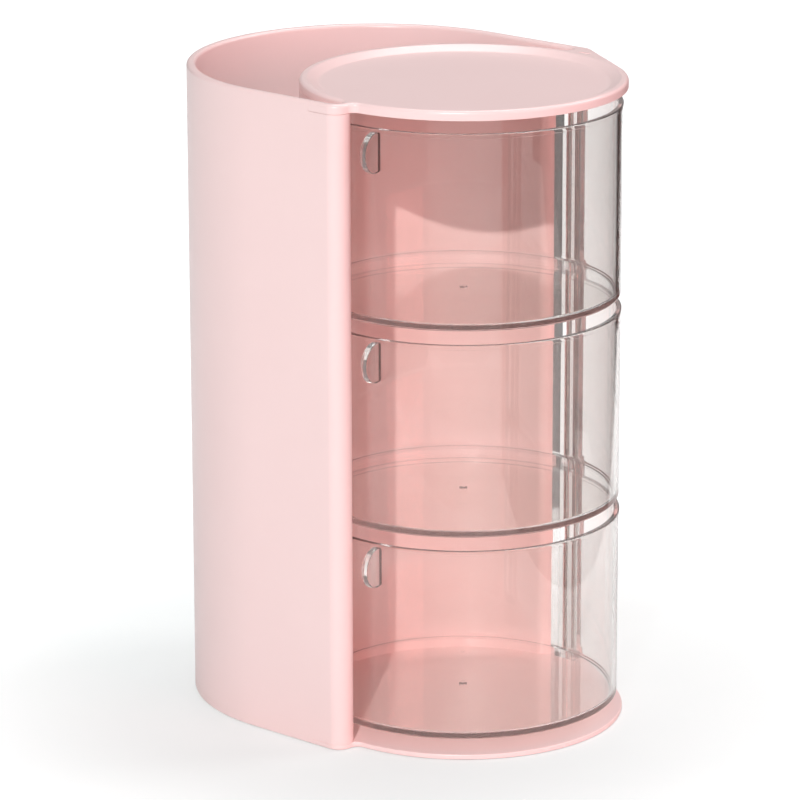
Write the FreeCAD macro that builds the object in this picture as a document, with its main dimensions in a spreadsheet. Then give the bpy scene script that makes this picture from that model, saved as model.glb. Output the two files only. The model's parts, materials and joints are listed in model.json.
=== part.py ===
import FreeCAD, Part
import math
import os
import Sketcher

# Hair accessory organizer: a moulded stand with an open compartment at the back and
# three clear round drawers in front, which swing out one by one on a steel pin.
# Millimetres. +Z is up, +X is the hinge side, -Y is the front. The model's origin is on the
# standing plane, under the middle of the outline. Each moulding is drawn about the drawer
# axis, the vertical axis of the closed drawers, and its Placement puts that axis in the model.

os.makedirs("parts", exist_ok=True)
doc = FreeCAD.newDocument("organizer")

# Driving sizes, one cell each.
SIZES = (
    ("bay_radius", 54.4),        # hollow face of the partition, round the drawers
    ("side_reach", 9.6),         # from that face to the outside of the side walls
    ("wall", 3.2),               # outer wall
    ("partition", 1.2),          # partition between the drawers and the compartment
    ("compartment_depth", 46.2), # from the partition to the inside of the back
    ("left_nose_y", 5.2),        # centre of the left nose, where outer wall and partition meet
    ("right_nose_back", 13.2),   # centre of the right nose behind the hinge, which it clears
    ("slit_left_back", 0.8),     # round left tip of the compartment behind the left nose's centre
    ("tip_right_back", 0.8),     # round right tip of the compartment behind the right nose's centre
    ("slit_hinge_back", 5.2),    # round right tip of the gap beside the tray, behind the hinge
    ("seam_back", 1.2),          # seams of tray and base behind the right nose's centre
    ("seam_gap", 0.05),          # gap of those seams
    ("floor_gap", 0.15),         # between the base plate and the inside of the outer wall
    ("rim_bevel", 0.8),          # bevel of the upper edges of stand and tray
    ("crease", 3.0),             # fillet between the left nose and the round front
    ("pad_stand", 0.3),          # how far the pads lift the stand
    ("base_thick", 1.7),         # base plate
    ("tray_thick", 3.4),         # tray plate at its rim
    ("tray_rim", 2.3),           # flat rim of the tray
    ("tray_slope", 3.3),         # width of the slope inside the rim
    ("tray_depth", 1.9),         # depth of the tray's hollow
    ("ear_radius", 4.7),         # round the hinge axis, level with the side wall
    ("hinge_y", -1.6),           # hinge axis from the drawer axis, front to back
    ("pin_radius", 1.5),
    ("pin_run", 0.08),           # radial clearance of the drawers on the pin
    ("pin_seat", 0.03),          # radial clearance of the pin in tray and base
    ("pin_cover", 1.8),          # plastic left above the pin's blind hole
    ("pin_end_gap", 0.2),        # above the pin's upper end
    ("pin_tip", 0.4),            # chamfer of the pin's upper end
    ("pin_head_radius", 3.0),
    ("pin_head", 0.8),           # thickness of the pin's head
    ("pin_head_gap", 0.1),       # round and under the head, in its counterbore
    ("bay_gap", 0.4),            # between a drawer's bead and the partition
    ("run_gap", 0.3),            # between a knuckle and what is under it
    ("cup_height", 66.8),
    ("cup_wall", 1.6),
    ("cup_floor", 1.6),
    ("cup_corner", 1.2),         # bevel inside, between floor and wall
    ("bead", 0.3),               # how far the bead stands out from the wall
    ("bead_height", 1.5),
    ("post_out", 2.9),           # hinge post, from the hinge axis outwards
    ("post_front", 3.4),
    ("post_back", 4.8),
    ("knuckle_in", 3.8),         # from the hinge axis to the knuckle's side near the cup
    ("knuckle_margin", 0.5),     # knuckle outside the post's other sides
    ("knuckle_drop", 4.5),       # how far the knuckle reaches below the cup
    ("tab_angle", 8.5),          # finger tab, turned to the front from the side opposite the hinge
    ("tab_radius", 6.9),         # radius of the tab's round edge
    ("tab_centre_out", 2.1),     # centre of that radius outside the cup
    ("tab_below_rim", 1.0),      # top of the tab's root below the rim
    ("tab_thick", 2.3),
    ("boss_radius", 3.8),        # screw bosses inside the outer wall
    ("boss_inset", 3.4),         # boss centre from the inner face of the wall
    ("boss_height", 10.0),
    ("side_boss_front", 14.0),   # in front of the centre of the round back
    ("screw_radius", 1.25),
    ("screw_length", 8.0),       # below the head
    ("screw_pilot", 0.05),       # radial clearance in the boss
    ("screw_pass", 0.25),        # radial clearance in the base plate
    ("screw_head", 1.0),         # height of the countersunk head, and its reach past the shank
    ("screw_end_gap", 0.5),
    ("screw_sink", 0.1),         # head below the underside
    ("pad_radius", 5.0),
    ("pad_recess", 0.7),
    ("pad_gap", 0.1),
    ("pad_inset", 11.0),         # pad centre from the edge of the disc and of the inside
    ("front_pad_angle", 48.0),   # from straight ahead, about the drawer axis
    ("rear_pad_angle", 52.0),    # from straight back, about the centre of the round back
)
sheet = doc.addObject("Spreadsheet::Sheet", "Sizes")
for row, (alias, value) in enumerate(SIZES, start=1):
    sheet.set("A%d" % row, alias)
    sheet.set("B%d" % row, str(value))
    sheet.setAlias("B%d" % row, alias)
doc.recompute()

# Sizes that follow from the driving ones.
HALF = "(Sizes.bay_radius + Sizes.side_reach)"
INSIDE = "(%s - Sizes.wall)" % HALF
DISC_R = "(Sizes.bay_radius + Sizes.partition)"
BACK_Y = "(%s + Sizes.compartment_depth - %s)" % (DISC_R, INSIDE)
HINGE_X = "(%s - Sizes.ear_radius)" % HALF
RIGHT_NOSE_Y = "(Sizes.hinge_y + Sizes.right_nose_back)"
SLIT_LEFT_Y = "(Sizes.left_nose_y + Sizes.slit_left_back)"
TIP_RIGHT_Y = "(%s + Sizes.tip_right_back)" % RIGHT_NOSE_Y
SLIT_RIGHT_Y = "(Sizes.hinge_y + Sizes.slit_hinge_back)"
SEAM_Y = "(%s + Sizes.seam_back)" % RIGHT_NOSE_Y
CUP_R = "(Sizes.bay_radius - Sizes.bay_gap - Sizes.bead)"
CUP_GAP = "(Sizes.knuckle_drop + Sizes.run_gap)"
BASE_TOP = "(Sizes.pad_stand + Sizes.base_thick)"
LOWEST_CUP = "(%s + %s)" % (BASE_TOP, CUP_GAP)
PITCH = "(Sizes.cup_height + %s)" % CUP_GAP
TRAY_UNDER = "(%s + 3 * %s + %s)" % (BASE_TOP, PITCH, CUP_GAP)
TOP = "(%s + Sizes.tray_thick)" % TRAY_UNDER
PIN_END = "(%s - Sizes.pin_cover - Sizes.pin_end_gap)" % TOP
BOSS_LINE = "(%s - Sizes.boss_inset)" % INSIDE
REAR_BOSS_Y = "(%s + %s)" % (BACK_Y, BOSS_LINE)
SIDE_BOSS_Y = "(%s - Sizes.side_boss_front)" % BACK_Y
BOSSES = (
    (BOSS_LINE, SIDE_BOSS_Y),
    ("-" + BOSS_LINE, SIDE_BOSS_Y),
    ("0", REAR_BOSS_Y),
)
FRONT_PAD_X = "((%s - Sizes.pad_inset) * sin(Sizes.front_pad_angle))" % DISC_R
FRONT_PAD_Y = "-((%s - Sizes.pad_inset) * cos(Sizes.front_pad_angle))" % DISC_R
REAR_PAD_X = "((%s - Sizes.pad_inset) * sin(Sizes.rear_pad_angle))" % INSIDE
REAR_PAD_Y = "(%s + (%s - Sizes.pad_inset) * cos(Sizes.rear_pad_angle))" % (BACK_Y, INSIDE)
PADS = (
    ("front_left_pad", "-" + FRONT_PAD_X, FRONT_PAD_Y),
    ("front_right_pad", FRONT_PAD_X, FRONT_PAD_Y),
    ("rear_left_pad", "-" + REAR_PAD_X, REAR_PAD_Y),
    ("rear_right_pad", REAR_PAD_X, REAR_PAD_Y),
)
# The drawer axis in the model, so that the outline is centred front to back.
AXIS_Y = "((%s - %s - %s) / 2)" % (DISC_R, HALF, BACK_Y)

START, END, CENTRE = 1, 2, 3
ORIGIN = (-1, 1)
NEAR = 0.001


def val(expression):
    """The number that an expression on the sheet has now."""
    return float(sheet.evalExpression(expression))


def vec(x, y, z=0.0):
    return FreeCAD.Vector(x, y, z)


def arc(centre, radius, start, end):
    """Arc that runs anticlockwise from one angle to the other, in radians."""
    return Part.ArcOfCircle(Part.Circle(centre, vec(0, 0, 1), radius), start, end)


def touching_radius(half, inner, y):
    """Radius of a circle centred at y that touches the side line and the round inner arc."""
    return "((%s^2 - %s^2 + %s^2) / (2 * (%s + %s)))" % (half, inner, y, half, inner)


def new_body(name):
    body = doc.addObject("PartDesign::Body", name)
    body.Label = name
    body.setExpression("Placement.Base.y", AXIS_Y)
    return body


def new_sketch(body, name, role="XY_Plane", height=None):
    """Sketch on one of the body's own origin planes, lifted by an expression."""
    sketch = body.newObject("Sketcher::SketchObject", name)
    plane = [item for item in body.Origin.OriginFeatures if item.Role == role][0]
    sketch.AttachmentSupport = [(plane, "")]
    sketch.MapMode = "FlatFace"
    if height:
        sketch.setExpression("AttachmentOffset.Base.z", height)
    return sketch


def hold(sketch, kind, *where):
    sketch.addConstraint(Sketcher.Constraint(kind, *where))


def drive(sketch, kind, *where, size):
    """Constraint whose size follows the sheet. A negative size turns the points round."""
    value = val(size)
    if kind in ("DistanceX", "DistanceY") and value < 0:
        where = where[2:] + where[:2]
        size = "-(%s)" % size
        value = -value
    index = sketch.addConstraint(Sketcher.Constraint(kind, *where, value))
    sketch.setExpression("Constraints[%d]" % index, size)


def at(sketch, geometry, point, x=None, y=None):
    """Place a point by its distances from the sketch's origin."""
    if x is not None:
        drive(sketch, "DistanceX", *ORIGIN, geometry, point, size=x)
    if y is not None:
        drive(sketch, "DistanceY", *ORIGIN, geometry, point, size=y)


def circle(sketch, x, y, radius):
    """Circle with its centre and radius driven by the sheet."""
    index = sketch.addGeometry(Part.Circle(vec(val(x), val(y)), vec(0, 0, 1), val(radius)))
    if x == "0":
        hold(sketch, "PointOnObject", index, CENTRE, -2)
        at(sketch, index, CENTRE, y=y)
    else:
        at(sketch, index, CENTRE, x=x, y=y)
    drive(sketch, "Radius", index, size=radius)
    return index


def round_plate(sketch, radius):
    """Circle about the drawer axis."""
    index = sketch.addGeometry(Part.Circle(vec(0, 0), vec(0, 0, 1), val(radius)))
    hold(sketch, "Coincident", index, CENTRE, *ORIGIN)
    drive(sketch, "Radius", index, size=radius)


def rectangle(sketch, left, right, low, high):
    """Rectangle between four lines, each given from the sketch's origin."""
    x0, x1, y0, y1 = val(left), val(right), val(low), val(high)
    corners = [vec(x0, y0), vec(x1, y0), vec(x1, y1), vec(x0, y1)]
    sides = []
    for number in range(4):
        line = Part.LineSegment(corners[number], corners[(number + 1) % 4])
        sides.append(sketch.addGeometry(line))
    for number in range(4):
        hold(sketch, "Coincident", sides[number], END, sides[(number + 1) % 4], START)
    for number, kind in enumerate(("Horizontal", "Vertical", "Horizontal", "Vertical")):
        hold(sketch, kind, sides[number])
    at(sketch, sides[0], START, x=left, y=low)
    at(sketch, sides[2], START, x=right, y=high)


def polygon(sketch, points):
    """Closed outline with each corner driven from the sketch's origin."""
    places = [vec(val(x), val(y)) for x, y in points]
    count = len(points)
    for number in range(count):
        sketch.addGeometry(Part.LineSegment(places[number], places[(number + 1) % count]))
    for number in range(count):
        hold(sketch, "Coincident", number, END, (number + 1) % count, START)
    for number, (x, y) in enumerate(points):
        if abs(val(x)) < NEAR:
            hold(sketch, "PointOnObject", number, START, -2)
        else:
            at(sketch, number, START, x=x)
        if abs(val(y)) < NEAR:
            hold(sketch, "PointOnObject", number, START, -1)
        else:
            at(sketch, number, START, y=y)


def crescent(sketch, half, inner, left_y, right_y):
    """Outline of the stand: straight sides, a round back, a hollow round front and two ends.

    The ends are arcs that run on from the sides into the hollow arc."""
    w, r, back = val(half), val(inner), val(BACK_Y)
    ends = {}
    for side, y in ((-1, left_y), (1, right_y)):
        radius = val(touching_radius(half, inner, y))
        centre = vec(side * (w - radius), val(y))
        ends[side] = (radius, centre, math.atan2(centre.y, centre.x))
    radius_l, centre_l, angle_l = ends[-1]
    radius_r, centre_r, angle_r = ends[1]
    left = sketch.addGeometry(Part.LineSegment(vec(-w, centre_l.y), vec(-w, back)))
    rear = sketch.addGeometry(arc(vec(0, back), w, 0, math.pi))
    right = sketch.addGeometry(Part.LineSegment(vec(w, back), vec(w, centre_r.y)))
    end_r = sketch.addGeometry(arc(centre_r, radius_r, angle_r - math.pi, 0))
    hollow = sketch.addGeometry(arc(vec(0, 0), r, angle_r, angle_l))
    end_l = sketch.addGeometry(arc(centre_l, radius_l, -math.pi, angle_l - math.pi))
    hold(sketch, "Tangent", left, START, end_l, START)
    hold(sketch, "Tangent", left, END, rear, END)
    hold(sketch, "Tangent", rear, START, right, START)
    hold(sketch, "Tangent", right, END, end_r, END)
    hold(sketch, "Tangent", end_r, START, hollow, START)
    hold(sketch, "Tangent", hollow, END, end_l, END)
    hold(sketch, "Vertical", left)
    hold(sketch, "Vertical", right)
    hold(sketch, "Coincident", hollow, CENTRE, *ORIGIN)
    hold(sketch, "PointOnObject", rear, CENTRE, -2)
    drive(sketch, "Radius", hollow, size=inner)
    drive(sketch, "Radius", rear, size=half)
    at(sketch, rear, CENTRE, y=BACK_Y)
    at(sketch, end_l, CENTRE, y=left_y)
    at(sketch, end_r, CENTRE, y=right_y)


def front_edge(sketch):
    """Front outline that tray and base share: left nose, crease, disc, ear and right side.

    It runs from the left seam to the right seam, and returns the two side lines and the disc."""
    w, r, y_seam = val(HALF), val(DISC_R), val(SEAM_Y)
    nose_r = touching_radius(HALF, "Sizes.bay_radius", "Sizes.left_nose_y")
    nose = vec(val(nose_r) - w, val("Sizes.left_nose_y"))
    crease = val("Sizes.crease")
    # The crease's centre is its own radius away from the disc and from the nose.
    far = nose.Length
    along = ((r + crease) ** 2 - (val(nose_r) + crease) ** 2 + far**2) / (2 * far)
    across = math.sqrt((r + crease) ** 2 - along**2)
    hollow = vec(nose.x * along - nose.y * across, nose.y * along + nose.x * across) / far
    to_nose = nose - hollow
    pin = vec(val(HINGE_X), val("Sizes.hinge_y"))
    turn = math.acos((r - val("Sizes.ear_radius")) / pin.Length)
    tangent = math.atan2(pin.y, pin.x) - turn
    out = vec(math.cos(tangent), math.sin(tangent))
    left = sketch.addGeometry(Part.LineSegment(vec(-w, y_seam), vec(-w, nose.y)))
    nose_end = math.atan2(-to_nose.y, -to_nose.x)
    nose_arc = sketch.addGeometry(arc(nose, val(nose_r), -math.pi, nose_end))
    crease_start = math.atan2(-hollow.y, -hollow.x)
    crease_end = math.atan2(to_nose.y, to_nose.x)
    crease_arc = sketch.addGeometry(arc(hollow, crease, crease_start, crease_end))
    disc = sketch.addGeometry(arc(vec(0, 0), r, math.atan2(hollow.y, hollow.x), tangent))
    flank = sketch.addGeometry(Part.LineSegment(out * r, pin + out * val("Sizes.ear_radius")))
    ear = sketch.addGeometry(arc(pin, val("Sizes.ear_radius"), tangent, 0))
    right = sketch.addGeometry(Part.LineSegment(vec(w, pin.y), vec(w, y_seam)))
    hold(sketch, "Tangent", left, END, nose_arc, START)
    hold(sketch, "Tangent", nose_arc, END, crease_arc, END)
    hold(sketch, "Tangent", crease_arc, START, disc, START)
    hold(sketch, "Tangent", disc, END, flank, START)
    hold(sketch, "Tangent", flank, END, ear, START)
    hold(sketch, "Tangent", ear, END, right, START)
    hold(sketch, "Vertical", left)
    hold(sketch, "Vertical", right)
    hold(sketch, "Coincident", disc, CENTRE, *ORIGIN)
    drive(sketch, "Radius", disc, size=DISC_R)
    at(sketch, left, START, x="-%s" % HALF, y=SEAM_Y)
    at(sketch, nose_arc, CENTRE, y="Sizes.left_nose_y")
    drive(sketch, "Radius", nose_arc, size=nose_r)
    drive(sketch, "Radius", crease_arc, size="Sizes.crease")
    at(sketch, ear, CENTRE, x=HINGE_X, y="Sizes.hinge_y")
    drive(sketch, "Radius", ear, size="Sizes.ear_radius")
    at(sketch, right, END, y=SEAM_Y)
    return left, right, disc


def feature(body, kind, name, sketch, **settings):
    """Pad, Pocket, Revolution or Groove on a sketch; settings that are text follow the sheet."""
    made = body.newObject("PartDesign::" + kind, name)
    made.Profile = sketch
    for key, value in settings.items():
        if isinstance(value, str) and value[0] in "(-S":
            made.setExpression(key, value)
        else:
            setattr(made, key, value)
    sketch.Visibility = False
    doc.recompute()
    return made


def turned(body, kind, name, sketch):
    """Revolution or Groove of a sketch about the vertical axis of its body."""
    made = body.newObject("PartDesign::" + kind, name)
    made.Profile = sketch
    made.ReferenceAxis = (sketch, ["V_Axis"])
    made.Angle = 360
    doc.recompute()
    return made


def bevel(body, name, base, chosen, size):
    """Chamfer on the edges of the last feature that the test accepts."""
    edges = base.Shape.Edges
    names = ["Edge%d" % (number + 1) for number, edge in enumerate(edges) if chosen(edge)]
    made = body.newObject("PartDesign::Chamfer", name)
    made.Base = (base, names)
    made.setExpression("Size", size)
    doc.recompute()
    return made


def all_at(edge, height):
    """Whether an edge lies at one height."""
    box = edge.BoundBox
    return abs(box.ZMin - height) < NEAR and abs(box.ZMax - height) < NEAR


def on_seam(edge):
    """Whether an edge lies along one of the two straight seams across the side walls."""
    box = edge.BoundBox
    seam = val(SEAM_Y)
    return box.YMax - box.YMin < NEAR and abs(box.YMin - seam) < 1.0


def is_circle(edge, radius):
    return hasattr(edge.Curve, "Radius") and abs(edge.Curve.Radius - radius) < NEAR


# Housing shell: outer wall and partition in one moulding, with the compartment between them.
shell = new_body("housing_shell")
outline = new_sketch(shell, "ShellOutline", height="Sizes.pad_stand")
crescent(outline, HALF, "Sizes.bay_radius", "Sizes.left_nose_y", RIGHT_NOSE_Y)
feature(shell, "Pad", "ShellPad", outline, Length="(%s - Sizes.pad_stand)" % TOP)
compartment = new_sketch(shell, "Compartment", height=TOP)
crescent(compartment, INSIDE, DISC_R, SLIT_LEFT_Y, TIP_RIGHT_Y)
feature(shell, "Pocket", "CompartmentPocket", compartment, Length="(%s)" % TOP)
# The tray sits on the partition and on both noses, and the base carries them in the same way.
SEAM = "(%s + Sizes.seam_gap)" % SEAM_Y
BEYOND = "(%s + Sizes.wall)" % HALF
for end, height, depth in (
    ("Top", TOP, "Sizes.tray_thick"),
    ("Bottom", BASE_TOP, "Sizes.base_thick"),
):
    across = new_sketch(shell, end + "Seam", height=height)
    rectangle(across, "-" + BEYOND, BEYOND, "-" + DISC_R, SEAM)
    feature(shell, "Pocket", end + "SeamPocket", across, Length=depth)
    disc_cut = new_sketch(shell, end + "Disc", height=height)
    round_plate(disc_cut, "(%s + Sizes.seam_gap)" % DISC_R)
    last = feature(shell, "Pocket", end + "DiscPocket", disc_cut, Length=depth)
shell_top = val(TOP)
bevel(shell, "ShellRim", last,
      lambda edge: all_at(edge, shell_top) and not on_seam(edge), "Sizes.rim_bevel")
bosses = new_sketch(shell, "Bosses", height=BASE_TOP)
for x, y in BOSSES:
    circle(bosses, x, y, "Sizes.boss_radius")
feature(shell, "Pad", "BossPad", bosses, Length="Sizes.boss_height")
pilots = new_sketch(shell, "Pilots", height=BASE_TOP)
for x, y in BOSSES:
    circle(pilots, x, y, "(Sizes.screw_radius + Sizes.screw_pilot)")
feature(shell, "Pocket", "PilotPocket", pilots, Reversed=True,
        Length="(Sizes.screw_length + Sizes.screw_end_gap)")

# Base plate: disc and ear under the drawers, and the floor of the compartment.
base = new_body("base_plate")
plate = new_sketch(base, "BaseOutline", height="Sizes.pad_stand")
left, right, disc = front_edge(plate)
FLOOR = "(%s - Sizes.floor_gap)" % INSIDE
inside, back_y, seam = val(FLOOR), val(BACK_Y), val(SEAM_Y)
half = val(HALF)
step_r = plate.addGeometry(Part.LineSegment(vec(half, seam), vec(inside, seam)))
side_r = plate.addGeometry(Part.LineSegment(vec(inside, seam), vec(inside, back_y)))
rear = plate.addGeometry(arc(vec(0, back_y), inside, 0, math.pi))
side_l = plate.addGeometry(Part.LineSegment(vec(-inside, back_y), vec(-inside, seam)))
step_l = plate.addGeometry(Part.LineSegment(vec(-inside, seam), vec(-half, seam)))
hold(plate, "Coincident", right, END, step_r, START)
hold(plate, "Coincident", step_r, END, side_r, START)
hold(plate, "Tangent", side_r, END, rear, START)
hold(plate, "Tangent", rear, END, side_l, START)
hold(plate, "Coincident", side_l, END, step_l, START)
hold(plate, "Coincident", step_l, END, left, START)
for line in (step_r, step_l):
    hold(plate, "Horizontal", line)
for line in (side_r, side_l):
    hold(plate, "Vertical", line)
hold(plate, "PointOnObject", rear, CENTRE, -2)
at(plate, rear, CENTRE, y=BACK_Y)
drive(plate, "Radius", rear, size=FLOOR)
feature(base, "Pad", "BasePad", plate, Length="Sizes.base_thick")
recesses = new_sketch(base, "PadRecesses", height="(Sizes.pad_stand + Sizes.pad_recess)")
for name, x, y in PADS:
    circle(recesses, x, y, "(Sizes.pad_radius + Sizes.pad_gap)")
feature(base, "Pocket", "PadPocket", recesses, Length="Sizes.pad_recess")
counterbore = new_sketch(base, "PinCounterbore",
                         height="(Sizes.pad_stand + Sizes.pin_head + Sizes.pin_head_gap)")
circle(counterbore, HINGE_X, "Sizes.hinge_y", "(Sizes.pin_head_radius + Sizes.pin_head_gap)")
feature(base, "Pocket", "PinCounterborePocket", counterbore,
        Length="(Sizes.pin_head + Sizes.pin_head_gap)")
pin_hole = new_sketch(base, "PinHole", height=BASE_TOP)
circle(pin_hole, HINGE_X, "Sizes.hinge_y", "(Sizes.pin_radius + Sizes.pin_seat)")
feature(base, "Pocket", "PinHolePocket", pin_hole, Length="Sizes.base_thick")
holes = new_sketch(base, "ScrewHoles", height=BASE_TOP)
for x, y in BOSSES:
    circle(holes, x, y, "(Sizes.screw_radius + Sizes.screw_pass)")
last = feature(base, "Pocket", "ScrewPocket", holes, Length="Sizes.base_thick")
passing = val("Sizes.screw_radius + Sizes.screw_pass")
under = val("Sizes.pad_stand")
bevel(base, "Countersinks", last,
      lambda edge: all_at(edge, under) and is_circle(edge, passing), "Sizes.screw_head")

# Top tray: round plate with a raised rim, lugs on both noses and the upper ear of the hinge.
tray = new_body("top_tray")
cover = new_sketch(tray, "TrayOutline", height=TRAY_UNDER)
left, right, disc = front_edge(cover)
inside, round_r = val(INSIDE), val(DISC_R)
step_r = cover.addGeometry(Part.LineSegment(vec(half, seam), vec(inside, seam)))
tips = {}
for side, y in ((1, SLIT_RIGHT_Y), (-1, SLIT_LEFT_Y)):
    radius = val(touching_radius(INSIDE, DISC_R, y))
    centre = vec(side * (inside - radius), val(y))
    tips[side] = (radius, centre, math.atan2(centre.y, centre.x))
radius_r, centre_r, angle_r = tips[1]
radius_l, centre_l, angle_l = tips[-1]
side_r = cover.addGeometry(Part.LineSegment(vec(inside, seam), vec(inside, centre_r.y)))
tip_r = cover.addGeometry(arc(centre_r, radius_r, angle_r - math.pi, 0))
rear = cover.addGeometry(arc(vec(0, 0), round_r, angle_r, angle_l))
tip_l = cover.addGeometry(arc(centre_l, radius_l, -math.pi, angle_l - math.pi))
side_l = cover.addGeometry(Part.LineSegment(vec(-inside, centre_l.y), vec(-inside, seam)))
step_l = cover.addGeometry(Part.LineSegment(vec(-inside, seam), vec(-half, seam)))
hold(cover, "Coincident", right, END, step_r, START)
hold(cover, "Coincident", step_r, END, side_r, START)
hold(cover, "Tangent", side_r, END, tip_r, END)
hold(cover, "Tangent", tip_r, START, rear, START)
hold(cover, "Tangent", rear, END, tip_l, END)
hold(cover, "Tangent", tip_l, START, side_l, START)
hold(cover, "Coincident", side_l, END, step_l, START)
hold(cover, "Coincident", step_l, END, left, START)
for line in (step_r, step_l):
    hold(cover, "Horizontal", line)
for line in (side_r, side_l):
    hold(cover, "Vertical", line)
hold(cover, "Coincident", rear, CENTRE, *ORIGIN)
drive(cover, "Radius", rear, size=DISC_R)
at(cover, side_r, START, x=INSIDE)
at(cover, side_l, START, x="-" + INSIDE)
at(cover, tip_r, CENTRE, y=SLIT_RIGHT_Y)
at(cover, tip_l, CENTRE, y=SLIT_LEFT_Y)
last = feature(tray, "Pad", "TrayPad", cover, Length="Sizes.tray_thick")
bevel(tray, "TrayRim", last,
      lambda edge: all_at(edge, shell_top) and not on_seam(edge), "Sizes.rim_bevel")
RIM_R = "(%s - Sizes.tray_rim)" % DISC_R
BED_R = "(%s - Sizes.tray_slope)" % RIM_R
BED = "(%s - Sizes.tray_depth)" % TOP
hollow = new_sketch(tray, "TrayHollow", "XZ_Plane")
polygon(hollow, (("0", BED), (BED_R, BED), (RIM_R, TOP), ("0", TOP)))
turned(tray, "Groove", "TrayGroove", hollow)
boss = new_sketch(tray, "EarBoss", height=TRAY_UNDER)
circle(boss, HINGE_X, "Sizes.hinge_y", "Sizes.ear_radius")
feature(tray, "Pad", "EarBossPad", boss, Reversed=True, Length="Sizes.knuckle_drop")
bore = new_sketch(tray, "EarBore", height="(%s - Sizes.knuckle_drop)" % TRAY_UNDER)
circle(bore, HINGE_X, "Sizes.hinge_y", "(Sizes.pin_radius + Sizes.pin_seat)")
feature(tray, "Pocket", "EarBorePocket", bore, Reversed=True,
        Length="(%s - %s + Sizes.knuckle_drop - Sizes.pin_cover)" % (TOP, TRAY_UNDER))


def drawer(name, level):
    """Clear round cup with its hinge post, knuckle and finger tab.

    It is drawn with the underside of its floor at zero."""
    body = new_body(name)
    body.setExpression("Placement.Base.z", "%s + %d * %s" % (LOWEST_CUP, level, PITCH))
    bead_r = "(%s + Sizes.bead)" % CUP_R
    inner_r = "(%s - Sizes.cup_wall)" % CUP_R
    step = "(Sizes.cup_height - Sizes.bead_height)"
    section = new_sketch(body, name + "_section", "XZ_Plane")
    polygon(section, (
        ("0", "0"),
        (CUP_R, "0"),
        (CUP_R, step),
        (bead_r, step),
        (bead_r, "Sizes.cup_height"),
        (inner_r, "Sizes.cup_height"),
        (inner_r, "Sizes.cup_floor"),
        ("0", "Sizes.cup_floor"),
    ))
    last = turned(body, "Revolution", name + "_cup", section)
    floor, in_r = val("Sizes.cup_floor"), val(inner_r)
    bevel(body, name + "_corner", last,
          lambda edge: all_at(edge, floor) and is_circle(edge, in_r), "Sizes.cup_corner")
    post = new_sketch(body, name + "_post_outline")
    rectangle(post, "(%s - Sizes.cup_wall / 2)" % CUP_R, "(%s + Sizes.post_out)" % HINGE_X,
              "(Sizes.hinge_y - Sizes.post_front)", "(Sizes.hinge_y + Sizes.post_back)")
    feature(body, "Pad", name + "_post", post, Length="Sizes.cup_height")
    knuckle = new_sketch(body, name + "_knuckle_outline")
    rectangle(knuckle, "(%s - Sizes.knuckle_in)" % HINGE_X,
              "(%s + Sizes.post_out + Sizes.knuckle_margin)" % HINGE_X,
              "(Sizes.hinge_y - Sizes.post_front - Sizes.knuckle_margin)",
              "(Sizes.hinge_y + Sizes.post_back + Sizes.knuckle_margin)")
    feature(body, "Pad", name + "_knuckle", knuckle, Reversed=True, Length="Sizes.knuckle_drop")
    # The tab is a round fin that stands on edge; its root is sunk into the wall.
    tab = new_sketch(body, name + "_tab_outline", "XZ_Plane")
    tab.AttachmentOffset = FreeCAD.Placement(vec(0, 0), FreeCAD.Rotation(vec(0, 1, 0), 1))
    tab.setExpression("AttachmentOffset.Rotation.Angle", "Sizes.tab_angle")
    root = "(%s - Sizes.cup_wall / 2)" % CUP_R
    out = "(%s + Sizes.tab_centre_out)" % CUP_R
    radius = val("Sizes.tab_radius")
    reach = val(out) - val(root)
    rise = math.sqrt(radius**2 - reach**2)
    # The round edge crosses the wall's outer face this far from its own middle.
    drop = "sqrt(Sizes.tab_radius^2 - Sizes.tab_centre_out^2)"
    middle = "(Sizes.cup_height - Sizes.tab_below_rim - %s)" % drop
    centre = vec(-val(out), val(middle))
    opening = math.atan2(rise, reach)
    edge = tab.addGeometry(arc(centre, radius, opening, 2 * math.pi - opening))
    chord = tab.addGeometry(Part.LineSegment(
        centre + vec(reach, -rise), centre + vec(reach, rise)))
    hold(tab, "Coincident", edge, END, chord, START)
    hold(tab, "Coincident", chord, END, edge, START)
    hold(tab, "Vertical", chord)
    at(tab, edge, CENTRE, x="-%s" % out, y=middle)
    at(tab, chord, START, x="-%s" % root)
    drive(tab, "Radius", edge, size="Sizes.tab_radius")
    feature(body, "Pad", name + "_tab", tab, Length="Sizes.tab_thick", Midplane=True)
    bore = new_sketch(body, name + "_bore_outline", height="Sizes.cup_height")
    circle(bore, HINGE_X, "Sizes.hinge_y", "(Sizes.pin_radius + Sizes.pin_run)")
    feature(body, "Pocket", name + "_bore", bore,
            Length="(Sizes.cup_height + Sizes.knuckle_drop)")
    return body


drawers = [
    drawer("lower_drawer", 0),
    drawer("middle_drawer", 1),
    drawer("upper_drawer", 2),
]

# Hinge pin: steel, with a flat head in the base plate's counterbore.
pin = new_body("hinge_pin")
pin.setExpression("Placement.Base.x", HINGE_X)
pin.setExpression("Placement.Base.y", "%s + Sizes.hinge_y" % AXIS_Y)
profile = new_sketch(pin, "PinProfile", "XZ_Plane")
HEAD_UNDER = "Sizes.pad_stand"
HEAD_TOP = "(Sizes.pad_stand + Sizes.pin_head)"
polygon(profile, (
    ("0", HEAD_UNDER),
    ("Sizes.pin_head_radius", HEAD_UNDER),
    ("Sizes.pin_head_radius", HEAD_TOP),
    ("Sizes.pin_radius", HEAD_TOP),
    ("Sizes.pin_radius", "(%s - Sizes.pin_tip)" % PIN_END),
    ("(Sizes.pin_radius - Sizes.pin_tip)", PIN_END),
    ("0", PIN_END),
))
turned(pin, "Revolution", "PinTurned", profile)

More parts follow.
